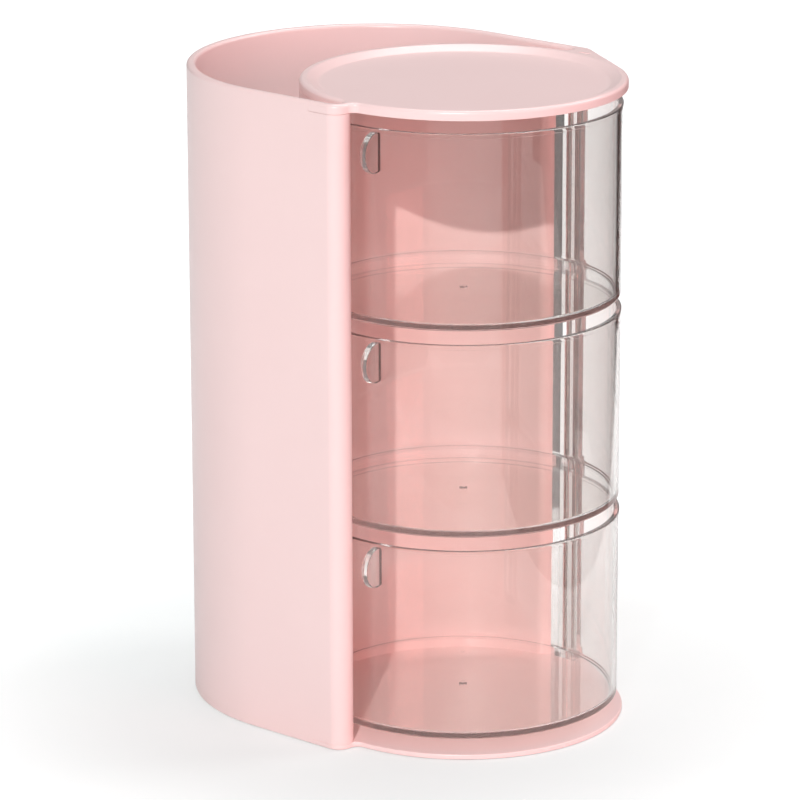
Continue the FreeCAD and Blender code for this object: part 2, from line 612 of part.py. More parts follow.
# Base screws: three countersunk self-tapping screws, from below into the bosses.
screws = []
for number, (x, y) in enumerate(BOSSES, start=1):
    head = doc.addObject("Part::Cone", "ScrewHead%d" % number)
    head.setExpression("Radius1", "Sizes.screw_radius + Sizes.screw_head")
    head.setExpression("Radius2", "Sizes.screw_radius")
    head.setExpression("Height", "Sizes.screw_head")
    shank = doc.addObject("Part::Cylinder", "ScrewShank%d" % number)
    shank.setExpression("Radius", "Sizes.screw_radius")
    shank.setExpression("Height", "Sizes.screw_length + Sizes.screw_head")
    screw = doc.addObject("Part::Fuse", "Screw%d" % number)
    screw.Base = head
    screw.Tool = shank
    screw.Refine = True
    if x != "0":
        screw.setExpression("Placement.Base.x", x)
    screw.setExpression("Placement.Base.y", "%s + %s" % (AXIS_Y, y))
    screw.setExpression("Placement.Base.z", "Sizes.pad_stand + Sizes.screw_sink")
    screws.append(screw)
base_screws = doc.addObject("Part::Compound", "base_screws")
base_screws.Label = "base_screws"
base_screws.Links = screws

# Pads: discs of soft rubber in the base plate's recesses, which lift the stand a little.
pads = []
for name, x, y in PADS:
    rubber = doc.addObject("Part::Cylinder", name)
    rubber.Label = name
    rubber.setExpression("Radius", "Sizes.pad_radius")
    rubber.setExpression("Height", "Sizes.pad_stand + Sizes.pad_recess")
    rubber.setExpression("Placement.Base.x", x)
    rubber.setExpression("Placement.Base.y", "%s + %s" % (AXIS_Y, y))
    pads.append(rubber)

doc.recompute()
for item in doc.Objects:
    if {"Invalid", "Error"} & set(item.State):
        raise RuntimeError("%s is %s" % (item.Name, item.State))
pieces = [shell, base, tray] + drawers + [pin, base_screws] + pads
for piece in pieces:
    shape = piece.Shape
    if shape.isNull() or not shape.isValid():
        raise RuntimeError("%s has no valid shape" % piece.Label)
for piece in pieces:
    piece.Shape.exportStep("parts/%s.step" % piece.Label)
    box = piece.Shape.optimalBoundingBox(True, False)
    print("%-16s %d solid(s) %9.1f mm3   x %.2f to %.2f   y %.2f to %.2f   z %.2f to %.2f" % (
        piece.Label, len(piece.Shape.Solids), piece.Shape.Volume,
        box.XMin, box.XMax, box.YMin, box.YMax, box.ZMin, box.ZMax))
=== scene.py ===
# %% [markdown]
# # Hair accessory organizer
#
# The object is a pink moulded stand with three clear round drawers, which swing out on one
# steel pin. The measured solids come first, as a fixed frame, and every piece below is
# modelled in the same place and at the same size, with finer rounding and with its finish.

# %% Load the frame
import json
import math

import bmesh
import bpy
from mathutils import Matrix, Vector

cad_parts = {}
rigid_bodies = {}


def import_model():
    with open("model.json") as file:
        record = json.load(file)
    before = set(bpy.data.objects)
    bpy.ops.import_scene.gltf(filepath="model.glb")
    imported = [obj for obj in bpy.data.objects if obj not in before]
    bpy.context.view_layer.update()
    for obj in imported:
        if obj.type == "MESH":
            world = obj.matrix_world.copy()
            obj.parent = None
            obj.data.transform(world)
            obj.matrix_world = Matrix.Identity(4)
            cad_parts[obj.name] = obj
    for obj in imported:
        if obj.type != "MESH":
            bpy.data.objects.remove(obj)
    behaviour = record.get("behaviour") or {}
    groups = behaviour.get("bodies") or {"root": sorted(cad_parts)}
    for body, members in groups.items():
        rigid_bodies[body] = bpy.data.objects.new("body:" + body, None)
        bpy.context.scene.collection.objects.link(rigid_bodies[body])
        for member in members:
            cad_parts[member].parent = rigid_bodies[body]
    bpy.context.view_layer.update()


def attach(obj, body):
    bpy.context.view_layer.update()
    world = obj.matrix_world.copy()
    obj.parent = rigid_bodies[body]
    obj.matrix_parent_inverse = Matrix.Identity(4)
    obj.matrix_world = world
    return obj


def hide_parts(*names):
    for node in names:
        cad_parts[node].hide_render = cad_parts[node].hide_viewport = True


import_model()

# %% [markdown]
# ## Sizes
#
# All sizes are in millimetres and the same as in the solids. Outlines are drawn about the
# drawer axis, the vertical axis through the closed drawers. `spot` turns such a place into
# metres in the model, whose origin is under the middle of the whole outline.

# %% Sizes
MM = 0.001
NEAR = 1e-6  # metres within which two places count as one
BAY_R, SIDE_REACH, WALL, PARTITION = 54.4, 9.6, 3.2, 1.2
HALF = BAY_R + SIDE_REACH
INSIDE = HALF - WALL
DISC_R = BAY_R + PARTITION
BACK_Y = DISC_R + 46.2 - INSIDE
EAR_R = 4.7
HINGE = Vector((HALF - EAR_R, -1.6))
LEFT_NOSE_Y, RIGHT_NOSE_Y = 5.2, 11.6
TIP_LEFT_Y, TIP_RIGHT_Y, SLIT_RIGHT_Y = 6.0, 12.4, 3.6
SEAM_Y, SEAM_GAP = 12.8, 0.05
AXIS_Y = (DISC_R - HALF - BACK_Y) / 2
PLATE_LOW, BASE_TOP = 0.3, 2.0
CUP_GAP, CUP_HEIGHT = 4.8, 66.8
PITCH = CUP_HEIGHT + CUP_GAP
TRAY_UNDER = BASE_TOP + 3 * PITCH + CUP_GAP
TOP = TRAY_UNDER + 3.4
HINGE_DROP = 4.5  # how far the tray's ear and the cups' knuckles reach down
PIN_R, FIXED_BORE_R, POST_BORE_R = 1.5, 1.53, 1.58
SPARE = 1.0  # how far a cutting tool reaches past the surface


def spot(x, y, z):
    """Place about the drawer axis in mm, as a vector in the model in metres."""
    return Vector((x, y + AXIS_Y, z)) * MM


print("top at %.1f mm, drawer axis at y %.1f mm" % (TOP, AXIS_Y))

# %% [markdown]
# ## Working by hand, in code
#
# Each piece starts from a primitive or from a traced outline. Everything is deselected
# before a primitive is added, because an operator acts on all that is selected. `pick`
# selects parts of the mesh by their place, as one would by clicking on them.


# %% Helpers for the edit mode
def start(name, primitive, **settings):
    """Add a primitive with nothing else selected."""
    bpy.ops.object.select_all(action="DESELECT")
    getattr(bpy.ops.mesh, "primitive_%s_add" % primitive)(**settings)
    piece = bpy.context.object
    piece.name = piece.data.name = name
    return piece


def rod(name, x, y, radius, low, high, vertices=48):
    """Upright cylinder between two heights in mm."""
    return start(name, "cylinder", vertices=vertices, radius=radius * MM,
                 depth=(high - low) * MM, location=spot(x, y, (low + high) / 2))


def alone(piece):
    """Select one piece and make it the active one."""
    bpy.ops.object.select_all(action="DESELECT")
    piece.select_set(True)
    bpy.context.view_layer.objects.active = piece


def edit(piece):
    """Open one piece in edit mode with everything selected."""
    alone(piece)
    bpy.ops.object.mode_set(mode="EDIT")
    bpy.ops.mesh.select_all(action="SELECT")


def close():
    """Back to object mode."""
    bpy.ops.object.mode_set(mode="OBJECT")


def pick(kind, test):
    """Select only the verts, edges or faces that pass the test, and count them."""
    bpy.ops.mesh.select_mode(type={"verts": "VERT", "edges": "EDGE", "faces": "FACE"}[kind])
    bpy.ops.mesh.select_all(action="DESELECT")
    data = bpy.context.object.data
    mesh = bmesh.from_edit_mesh(data)
    chosen = [item for item in getattr(mesh, kind) if test(item)]
    for item in chosen:
        item.select_set(True)
    mesh.select_flush_mode()
    bmesh.update_edit_mesh(data)
    return len(chosen)


def level(item, z):
    """Whether all of an edge or face lies at a height in mm."""
    return all(abs(v.co.z - z * MM) < NEAR for v in item.verts)


def outward():
    """Merge doubles and turn all faces outwards."""
    bpy.ops.mesh.select_all(action="SELECT")
    bpy.ops.mesh.remove_doubles(threshold=NEAR)
    bpy.ops.mesh.normals_make_consistent(inside=False)


def apply_modifier(piece, kind, **settings):
    """Add a modifier with its settings and apply it."""
    alone(piece)
    made = piece.modifiers.new(kind.title(), kind)
    for key, value in settings.items():
        setattr(made, key, value)
    bpy.ops.object.modifier_apply(modifier=made.name)


def carve(piece, tool, operation="DIFFERENCE"):
    """Cut a tool from a piece, or join it to the piece, and throw the tool away."""
    apply_modifier(piece, "BOOLEAN", object=tool, operation=operation, solver="EXACT")
    done = "cut from" if operation == "DIFFERENCE" else "joined to"
    print("%-14s %s %s" % (tool.name, done, piece.name))
    bpy.data.objects.remove(tool)


def smooth(piece, degrees=30):
    """Smooth shading, broken at edges sharper than the angle, with flat faces kept flat."""
    alone(piece)
    bpy.ops.object.shade_smooth_by_angle(angle=math.radians(degrees))
    apply_modifier(piece, "WEIGHTED_NORMAL", keep_sharp=True, weight=80)
    print("%-14s %6d faces" % (piece.name, len(piece.data.polygons)))


# %% [markdown]
# ## Tracing an outline
#
# The mouldings have outlines of straight runs and arcs that touch smoothly. A single vertex
# is walked along such a path: a straight run is an extrusion, and an arc is a spin about
# its centre, so that every arc is as round as its steps allow. Without a window the spin
# operator turns clockwise, so the angle is given to it with its sign changed.


# %% Walk a vertex along a path
def trace(begin, path, at, axis=(0, 0, 1)):
    """Walk from a place along ("line", a, b) and ("arc", a, b, degrees, steps) moves.

    `at` turns two numbers into a place. A positive angle is anticlockwise."""
    here = at(*begin)
    bpy.ops.mesh.primitive_plane_add(size=MM, location=here)
    bpy.ops.mesh.merge(type="CENTER")
    for kind, a, b, *turn in path:
        if kind == "line":
            move = {"value": at(a, b) - here}
            bpy.ops.mesh.extrude_region_move(TRANSFORM_OT_translate=move)
        else:
            degrees, steps = turn
            bpy.ops.mesh.spin(
                steps=steps, angle=-math.radians(degrees), center=at(a, b), axis=axis)
        mesh = bmesh.from_edit_mesh(bpy.context.object.data)
        here = [v.co.copy() for v in mesh.verts if v.select][-1]


def empty_mesh(name):
    """A piece with no vertices yet, open in edit mode."""
    piece = start(name, "plane")
    edit(piece)
    bpy.ops.mesh.select_mode(type="VERT")
    bpy.ops.mesh.select_all(action="SELECT")
    bpy.ops.mesh.delete(type="VERT")
    return piece


def prism(name, begin, path, low, high):
    """Solid between two heights with a traced outline, left in edit mode."""
    piece = empty_mesh(name)
    trace(begin, path, lambda x, y: spot(x, y, low))
    bpy.ops.mesh.select_all(action="SELECT")
    bpy.ops.mesh.remove_doubles(threshold=NEAR)
    bpy.ops.mesh.edge_face_add()
    rise = {"value": (0, 0, (high - low) * MM)}
    bpy.ops.mesh.extrude_region_move(TRANSFORM_OT_translate=rise)
    outward()
    return piece


def lathe(name, begin, path, centre=(0, 0), steps=64):
    """Solid turned from a profile of radius and height about an upright axis."""
    piece = empty_mesh(name)
    x, y = centre
    trace(begin, path, lambda radius, z: spot(x + radius, y, z), axis=(0, -1, 0))
    bpy.ops.mesh.select_all(action="SELECT")
    bpy.ops.mesh.spin(steps=steps, angle=2 * math.pi, center=spot(x, y, 0), axis=(0, 0, 1))
    outward()
    close()
    return piece


def round_edges(piece, test, radius, segments=4):
    """Round the edges that the test accepts, in edit mode."""
    count = pick("edges", test)
    bpy.ops.mesh.bevel(offset=radius * MM, segments=segments, profile=0.5, affect="EDGES")
    return count


# %% [markdown]
# ## Outline of the stand
#
# Seen from above the stand is a crescent: straight sides, a round back, and a hollow round
# front for the drawers. Where a side meets the hollow there is a rounded nose, an arc that
# touches both. Its radius follows from how far back its centre is. The compartment has an
# outline of the same kind, one wall thickness in. Both stop on their way at the seams, the
# lines straight across the side walls where shell, tray and base meet.


# %% Crescents
def touching(half, inner, y):
    """Radius and centre of a nose that touches the side line and the round hollow."""
    radius = (half**2 - inner**2 + y**2) / (2 * (half + inner))
    return radius, Vector((half - radius, y))


def polar(vector):
    """Direction of a vector in degrees."""
    return math.degrees(math.atan2(vector.y, vector.x))


def crescent(half, inner, left_y, right_y):
    """Beginning and path of a crescent, clockwise from the left side."""
    _, left = touching(half, inner, left_y)
    _, right = touching(half, inner, right_y)
    left.x = -left.x
    return (-half, left_y), (
        ("line", -half, SEAM_Y + SEAM_GAP),
        ("line", -half, BACK_Y),
        ("arc", 0, BACK_Y, -180, 128),
        ("line", half, SEAM_Y + SEAM_GAP),
        ("line", half, right_y),
        ("arc", right.x, right_y, polar(right) - 180, 28),
        ("arc", 0, 0, polar(left) - polar(right), 144),
        ("arc", left.x, left_y, -polar(left), 28),
    )


print("left nose radius %.2f mm" % touching(HALF, BAY_R, LEFT_NOSE_Y)[0])
print("right nose radius %.2f mm" % touching(HALF, BAY_R, RIGHT_NOSE_Y)[0])

# %% [markdown]
# ## Housing shell
#
# The shell is the outer wall and the partition behind the drawers, in one moulding. It is
# made as a wall: both crescents are traced on the level of the base's upper side, bridged
# into a ring, and the ring is drawn up to the tray's underside. From there only the outer
# wall is drawn on, up to the rim and down to the foot, because tray and base overlap the
# partition and the noses. The edges of rim and foot are then rounded, and three screw
# bosses are joined on inside the wall.

# %% Wall of the shell
def on_seam(edge, gap=SEAM_GAP):
    """Whether an edge lies on one of the seams across the side walls."""
    return all(abs(v.co.y - (SEAM_Y + gap + AXIS_Y) * MM) < NEAR for v in edge.verts)


shell = empty_mesh("shell_moulding")
for outline in (
    crescent(HALF, BAY_R, LEFT_NOSE_Y, RIGHT_NOSE_Y),
    crescent(INSIDE, DISC_R, TIP_LEFT_Y, TIP_RIGHT_Y),
):
    trace(*outline, lambda x, y: spot(x, y, BASE_TOP))
bpy.ops.mesh.select_all(action="SELECT")
bpy.ops.mesh.remove_doubles(threshold=NEAR)
bpy.ops.mesh.select_mode(type="EDGE")
bpy.ops.mesh.select_all(action="SELECT")
bpy.ops.mesh.bridge_edge_loops()
print("edges straight across the side walls at the seams:", pick("edges", on_seam))
bpy.ops.mesh.select_all(action="SELECT")
rise = {"value": (0, 0, (TRAY_UNDER - BASE_TOP) * MM)}
bpy.ops.mesh.extrude_region_move(TRANSFORM_OT_translate=rise)
outward()


def outer_wall(face, z):
    """Whether a face on a level belongs to the outer wall behind the seams."""
    middle = face.calc_center_median() / MM
    behind = middle.y - AXIS_Y > SEAM_Y + SEAM_GAP
    return level(face, z) and behind and math.hypot(middle.x, middle.y - AXIS_Y) > DISC_R + 1


for z, end in ((TRAY_UNDER, TOP), (BASE_TOP, PLATE_LOW)):
    count = pick("faces", lambda face: outer_wall(face, z))
    rise = {"value": (0, 0, (end - z) * MM)}
    bpy.ops.mesh.extrude_region_move(TRANSFORM_OT_translate=rise)
    print("outer wall drawn from %.1f to %.1f mm: %d faces" % (z, end, count))


# %% Rim and foot
def rim_edge(edge, z, gap=0.0):
    """Whether an edge is a corner at a height, away from the seams."""
    return level(edge, z) and edge.calc_face_angle(0) > 1 and not on_seam(edge, gap)


RIM_ROUND, FOOT_ROUND = 1.2, 0.3
rim = round_edges(shell, lambda e: rim_edge(e, TOP, SEAM_GAP), RIM_ROUND, 6)
foot = round_edges(shell, lambda e: rim_edge(e, PLATE_LOW, SEAM_GAP), FOOT_ROUND, 2)
close()
print("rim edges rounded: %d, lower edges: %d" % (rim, foot))

# %% Screw bosses
BOSS_R, BOSS_HIGH, PILOT_R, PILOT_DEEP = 3.8, 10.0, 1.3, 8.5
BOSS_LINE = INSIDE - 3.4
BOSSES = [(BOSS_LINE, BACK_Y - 14), (-BOSS_LINE, BACK_Y - 14), (0, BACK_Y + BOSS_LINE)]
for x, y in BOSSES:
    boss = rod("boss", x, y, BOSS_R, BASE_TOP, BASE_TOP + BOSS_HIGH, 64)
    carve(shell, boss, "UNION")
for x, y in BOSSES:
    pilot = rod("pilot", x, y, PILOT_R, BASE_TOP - 2 * SPARE, BASE_TOP + PILOT_DEEP, 32)
    carve(shell, pilot)
smooth(shell)
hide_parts("housing_shell")
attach(shell, "stand")

# %% [markdown]
# ## Front edge of tray and base
#
# Tray and base share their front outline: round the left nose, through a small hollow
# crease, along the disc in front of the drawers, and round the ear that holds the pin. The
# crease is an arc that touches both the nose and the disc, so its centre lies at its own
# radius from each.

# %% Front edge
CREASE = 3.0


def front_edge():
    """Path from the left seam to the right seam."""
    nose_r, nose = touching(HALF, BAY_R, LEFT_NOSE_Y)
    nose.x = -nose.x
    far = nose.length
    along = ((DISC_R + CREASE) ** 2 - (nose_r + CREASE) ** 2 + far**2) / (2 * far)
    across = math.sqrt((DISC_R + CREASE) ** 2 - along**2)
    unit = nose / far
    hollow = Vector((unit.x * along - unit.y * across, unit.y * along + unit.x * across))
    to_nose = nose - hollow
    turn = math.acos((DISC_R - EAR_R) / HINGE.length)
    tangent = polar(HINGE) - math.degrees(turn)
    out = Vector((math.cos(math.radians(tangent)), math.sin(math.radians(tangent))))
    flank = HINGE + out * EAR_R
    return (
        ("line", -HALF, LEFT_NOSE_Y),
        ("arc", nose.x, nose.y, polar(-to_nose) + 180, 24),
        ("arc", hollow.x, hollow.y, -((polar(to_nose) - polar(-hollow)) % 360), 16),
        ("arc", 0, 0, (tangent - polar(hollow)) % 360, 144),
        ("line", flank.x, flank.y),
        ("arc", HINGE.x, HINGE.y, -tangent, 20),
        ("line", HALF, SEAM_Y),
    )


for move in front_edge():
    print(move[0], [round(v, 2) for v in move[1:]])

# %% [markdown]
# ## Top tray
#
# The tray lies on the partition and on both noses, so it carries the outline's front half,
# the two tips of the compartment, and a raised flat rim round a shallow hollow. The hollow
# is turned as a tool with soft edges and cut away. Its slope runs over the rim at a small
# angle, so that the cut's edge stays soft.

# %% Plate of the tray
_, tip_left = touching(INSIDE, DISC_R, TIP_LEFT_Y)
_, tip_right = touching(INSIDE, DISC_R, SLIT_RIGHT_Y)
tip_left.x = -tip_left.x
tray_path = front_edge() + (
    ("line", INSIDE, SEAM_Y),
    ("line", INSIDE, SLIT_RIGHT_Y),
    ("arc", tip_right.x, tip_right.y, polar(tip_right) - 180, 28),
    ("arc", 0, 0, polar(tip_left) - polar(tip_right), 144),
    ("arc", tip_left.x, tip_left.y, -polar(tip_left), 28),
    ("line", -INSIDE, SEAM_Y),
    ("line", -HALF, SEAM_Y),
)
tray = prism("tray_moulding", (-HALF, SEAM_Y), tray_path, TRAY_UNDER, TOP)
rim = round_edges(tray, lambda e: rim_edge(e, TOP), RIM_ROUND, 6)
low = round_edges(tray, lambda e: rim_edge(e, TRAY_UNDER), FOOT_ROUND, 2)
close()
print("tray rim edges rounded: %d, lower edges: %d" % (rim, low))

# %% Hollow of the tray
RIM_R = DISC_R - 2.3
BED_R = RIM_R - 4.8
BED = TOP - 1.9
hollow_path = (
    ("line", BED_R, BED),
    ("arc", BED_R, BED + 3.0, 35, 8),
    ("line", RIM_R - 0.55, TOP - 0.16),
    ("line", RIM_R - 0.2, TOP - 0.03),
    ("line", RIM_R + 0.6, TOP + 0.12),
    ("line", RIM_R + 0.6, TOP + 4),
    ("line", 0, TOP + 4),
)
hollow = lathe("tray_hollow", (0, BED), hollow_path, steps=240)
carve(tray, hollow)

# %% [markdown]
# The ear below the tray takes the pin's upper end in a blind bore. Over it a short crease
# shows where the rim runs into the ear. Ear and bore are upright cylinders, one joined on
# and one cut away, and the crease is cut with a small turned cube.

# %% Ear, bore and crease of the tray
ear_low = TRAY_UNDER - HINGE_DROP
ear = rod("ear", *HINGE, EAR_R, ear_low, TRAY_UNDER + SPARE, 80)
edit(ear)
round_edges(ear, lambda e: level(e, ear_low), 0.3, 2)
close()
carve(tray, ear, "UNION")
bore = rod("bore", *HINGE, FIXED_BORE_R, ear_low - SPARE, TOP - 1.8)
carve(tray, bore)
crease = start("crease", "cube", size=1, location=(0, 0, 0))
edit(crease)
bpy.ops.transform.resize(value=(0.8 * MM, 4.4 * MM, 1.0 * MM))
bpy.ops.transform.rotate(value=math.radians(-12), orient_axis="Z", center_override=(0, 0, 0))
bpy.ops.transform.translate(value=spot(56.2, -6.7, TOP))
close()
carve(tray, crease)
smooth(tray)
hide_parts("top_tray")
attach(tray, "stand")

# %% [markdown]
# ## Base plate
#
# The base is a flat plate: the disc and the ear under the drawers, and the floor of the
# compartment between the walls. Its outer edge is softly rounded, and underneath it has
# hollows for the pads, the pin's head and the screws.

# %% Base plate
FLOOR = INSIDE - 0.15
base_path = front_edge() + (
    ("line", FLOOR, SEAM_Y),
    ("line", FLOOR, BACK_Y),
    ("arc", 0, BACK_Y, 180, 128),
    ("line", -FLOOR, SEAM_Y),
    ("line", -HALF, SEAM_Y),
)
base = prism("base_moulding", (-HALF, SEAM_Y), base_path, PLATE_LOW, BASE_TOP)


def before_seam(edge):
    """Whether an edge is on the part of the outline that shows."""
    return all(v.co.y < (SEAM_Y + AXIS_Y) * MM + NEAR for v in edge.verts)


rim = round_edges(base, lambda e: rim_edge(e, BASE_TOP) and before_seam(e), 0.45, 4)
low = round_edges(base, lambda e: rim_edge(e, PLATE_LOW) and before_seam(e), FOOT_ROUND, 3)
close()
print("base upper edges rounded: %d, lower edges: %d" % (rim, low))

# %% Hollows under the base
PAD_R = 5.0
front_turn, rear_turn = math.radians(48), math.radians(52)
front_reach, rear_reach = DISC_R - 11, INSIDE - 11
PADS = {}
for word, s in (("left", -1), ("right", 1)):
    PADS["front_%s_pad" % word] = (s * front_reach * math.sin(front_turn),
                                   -front_reach * math.cos(front_turn))
    PADS["rear_%s_pad" % word] = (s * rear_reach * math.sin(rear_turn),
                                  BACK_Y + rear_reach * math.cos(rear_turn))
above = BASE_TOP + SPARE
SCREW_HOLE_R, SINK_R, SINK_DEEP = 1.5, 2.5, 1.0
holes = [(x, y, PAD_R + 0.1, PLATE_LOW + 0.7, 96) for x, y in PADS.values()]
holes += [(*HINGE, 3.1, PLATE_LOW + 0.9, 64), (*HINGE, FIXED_BORE_R, above, 48)]
holes += [(x, y, SCREW_HOLE_R, above, 48) for x, y in BOSSES]
for x, y, radius, top, count in holes:
    carve(base, rod("hole", x, y, radius, PLATE_LOW - 2 * SPARE, top, count))
for x, y in BOSSES:
    sink = start("sink", "cone", vertices=48, radius1=SINK_R * MM, radius2=SCREW_HOLE_R * MM,
                 depth=SINK_DEEP * MM, location=spot(x, y, PLATE_LOW + SINK_DEEP / 2))
    carve(base, sink)
smooth(base)
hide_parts("base_plate")
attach(base, "stand")

# %% [markdown]
# ## Drawers
#
# A drawer is a clear cup with a post for the hinge, a knuckle below it, and a round finger
# tab that stands on edge. Light bends at every surface of clear plastic, so all of this has
# to be one closed solid. The cup is turned from its profile, and the other forms are joined
# to it before the bore is cut. One drawer is made, and its copies get their own meshes.
#
# The plastic was let in at the middle of the floor, and left its mark: a low round button
# inside and a shallow hollow underneath. Both are part of the profile.

# %% Turned cup
CUP_WALL, BEAD, SWING_GAP = 1.6, 0.3, 0.4
CUP_R = BAY_R - SWING_GAP - BEAD
BEAD_R = CUP_R + BEAD
CUP_IN = CUP_R - CUP_WALL
CUP_LOW = BASE_TOP + CUP_GAP
HEEL, CORNER, LIP = 0.8, 1.2, 0.4
BUTTON_R, BUTTON_HIGH, DIMPLE_R, DIMPLE_DEEP = 1.4, 0.6, 1.3, 0.25
rim_z = CUP_LOW + CUP_HEIGHT
bead_z = rim_z - 1.5
floor_z = CUP_LOW + CUP_WALL
cup_path = (
    ("line", DIMPLE_R - 0.3, CUP_LOW + DIMPLE_DEEP),
    ("line", DIMPLE_R, CUP_LOW),
    ("line", CUP_R - HEEL, CUP_LOW),
    ("arc", CUP_R - HEEL, CUP_LOW + HEEL, 90, 6),
    ("line", CUP_R, bead_z - 0.15),
    ("line", BEAD_R - 0.1, bead_z),
    ("arc", BEAD_R - 0.1, bead_z + 0.1, 90, 2),
    ("line", BEAD_R, rim_z - LIP),
    ("arc", BEAD_R - LIP, rim_z - LIP, 90, 4),
    ("line", CUP_IN + LIP, rim_z),
    ("arc", CUP_IN + LIP, rim_z - LIP, 90, 4),
    ("line", CUP_IN, floor_z + CORNER),
    ("arc", CUP_IN - CORNER, floor_z + CORNER, -90, 8),
    ("line", BUTTON_R, floor_z),
    ("line", BUTTON_R - 0.2, floor_z + BUTTON_HIGH),
    ("line", 0, floor_z + BUTTON_HIGH),
)
cup = lathe("lower_cup", (0, CUP_LOW + DIMPLE_DEEP), cup_path, steps=240)
print("cup: %d faces" % len(cup.data.polygons))


# %% [markdown]
# The post is a square bar of clear plastic up the outside of the cup, with the bore for the
# pin in it, and the knuckle is its wider foot, which keeps the drawers apart on the pin.
# Both are cubes with their upright edges rounded, sunk a little into the wall to be joined.


# %% Post and knuckle
def block(name, x0, x1, y0, y1, z0, z1, radius=0.25):
    """Upright block between two places on each axis, with its upright edges rounded."""
    middle = spot((x0 + x1) / 2, (y0 + y1) / 2, (z0 + z1) / 2)
    size = Vector((x1 - x0, y1 - y0, z1 - z0)) * MM
    made = start(name, "cube", size=1, location=middle, scale=size)
    bpy.ops.object.transform_apply(location=True, rotation=True, scale=True)
    edit(made)
    round_edges(made, lambda e: abs(e.verts[0].co.z - e.verts[1].co.z) > MM, radius, 3)
    close()
    return made


SUNK = 0.8  # how far post and tab reach into the cup's wall
hx, hy = HINGE
knuckle_low = CUP_LOW - HINGE_DROP
post = block("post", CUP_R - SUNK, hx + 2.9, hy - 3.4, hy + 4.8, CUP_LOW, rim_z)
knuckle = block("knuckle", hx - 3.8, hx + 3.4, hy - 3.9, hy + 5.3, knuckle_low, CUP_LOW)
carve(cup, post, "UNION")
carve(cup, knuckle, "UNION")

# %% [markdown]
# The finger tab is a round disc on edge, of which about two thirds stand out of the cup's
# wall. It is a cylinder laid on its side with rounded edges, and what would reach into the
# drawer is cut off with a bisect before the tab is joined on.

# %% Finger tab
TAB_R, TAB_THICK, TAB_OUT, TAB_BELOW_RIM = 6.9, 2.3, 2.1, 1.0
turn = math.radians(8.5)
tab_out = CUP_R + TAB_OUT
tab_z = rim_z - TAB_BELOW_RIM - math.sqrt(TAB_R**2 - TAB_OUT**2)
away = Vector((-math.cos(turn), -math.sin(turn), 0))
middle = spot(away.x * tab_out, away.y * tab_out, tab_z)
tab = start("tab", "cylinder", vertices=128, radius=TAB_R * MM, depth=TAB_THICK * MM,
            location=middle, rotation=(math.pi / 2, 0, turn))
bpy.ops.object.transform_apply(location=True, rotation=True, scale=True)
edit(tab)
side_way = Vector((-away.y, away.x, 0))


def tab_side(edge):
    """Whether an edge lies round one of the two flat sides."""
    first, second = [(v.co - middle).dot(side_way) for v in edge.verts]
    return abs(first - second) < NEAR


print("tab edges rounded:", round_edges(tab, tab_side, 0.35, 3))
bpy.ops.mesh.select_all(action="SELECT")
root = spot(away.x * (CUP_R - SUNK), away.y * (CUP_R - SUNK), tab_z)
bpy.ops.mesh.bisect(plane_co=root, plane_no=away, use_fill=True, clear_inner=True)
outward()
close()
carve(cup, tab, "UNION")

# %% Bore, and the three drawers
carve(cup, rod("pin_bore", hx, hy, POST_BORE_R, knuckle_low - SPARE, rim_z + SPARE, 64))
smooth(cup, 25)
DRAWERS = {}
for number, word in enumerate(("lower", "middle", "upper")):
    drawer = cup
    if number:
        drawer = cup.copy()
        drawer.data = cup.data.copy()
        drawer.name = drawer.data.name = word + "_cup"
        bpy.context.collection.objects.link(drawer)
        alone(drawer)
        drawer.location.z = number * PITCH * MM
        bpy.ops.object.transform_apply(location=True, rotation=True, scale=True)
    DRAWERS[word] = drawer
for word, drawer in DRAWERS.items():
    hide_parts(word + "_drawer")
    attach(drawer, word)
print({word: [round(v, 4) for v in drawer.location] for word, drawer in DRAWERS.items()})

# %% [markdown]
# ## Pin, screws and pads
#
# These are small turned parts, so each is a profile spun about its own axis. The steel pin
# shows through the clear posts; it comes from below, where its flat head lies in the base.
# Three screws with cross slots hold the base to the bosses, and four rubber pads keep the
# stand from sliding. Screws and pads only show from below, and are made once and copied.

# %% Hinge pin
PIN_END = TOP - 2.0
head_top = PLATE_LOW + 0.8
pin_path = (
    ("line", 2.8, PLATE_LOW),
    ("arc", 2.8, PLATE_LOW + 0.2, 90, 3),
    ("line", 3.0, head_top),
    ("line", PIN_R, head_top),
    ("line", PIN_R, PIN_END - 0.4),
    ("line", 1.1, PIN_END),
    ("line", 0, PIN_END),
)
pin = lathe("steel_pin", (0, PLATE_LOW), pin_path, centre=HINGE, steps=64)
smooth(pin)
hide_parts("hinge_pin")
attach(pin, "stand")


# %% Screws
def set_down(piece, x, y):
    """Copy of a small part, moved to its place about the drawer axis."""
    made = piece.copy()
    made.data = piece.data.copy()
    bpy.context.collection.objects.link(made)
    alone(made)
    made.location = Vector((x, y, 0)) * MM
    bpy.ops.object.transform_apply(location=True, rotation=True, scale=True)
    return made


HEAD_LOW = PLATE_LOW + 0.1
screw_path = (
    ("line", 2.2, HEAD_LOW),
    ("line", 2.25, HEAD_LOW + 0.08),
    ("line", 1.25, HEAD_LOW + 1.0),
    ("line", 1.25, HEAD_LOW + 8.4),
    ("line", 0.5, HEAD_LOW + 9.0),
    ("line", 0, HEAD_LOW + 9.0),
)
screw = lathe("screw", (0, HEAD_LOW), screw_path, steps=48)
for degrees in (0, 90):
    middle = spot(0, 0, HEAD_LOW + 0.1)
    slot = start("slot", "cube", size=1, location=middle, scale=Vector((2.6, 0.5, 1.2)) * MM,
                 rotation=(0, 0, math.radians(45 + degrees)))
    carve(screw, slot)
smooth(screw)
for number, (x, y) in enumerate(BOSSES, start=1):
    one = set_down(screw, x, y)
    one.name = one.data.name = "screw_%d" % number
    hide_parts("base_screws")
    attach(one, "stand")
bpy.data.objects.remove(screw)

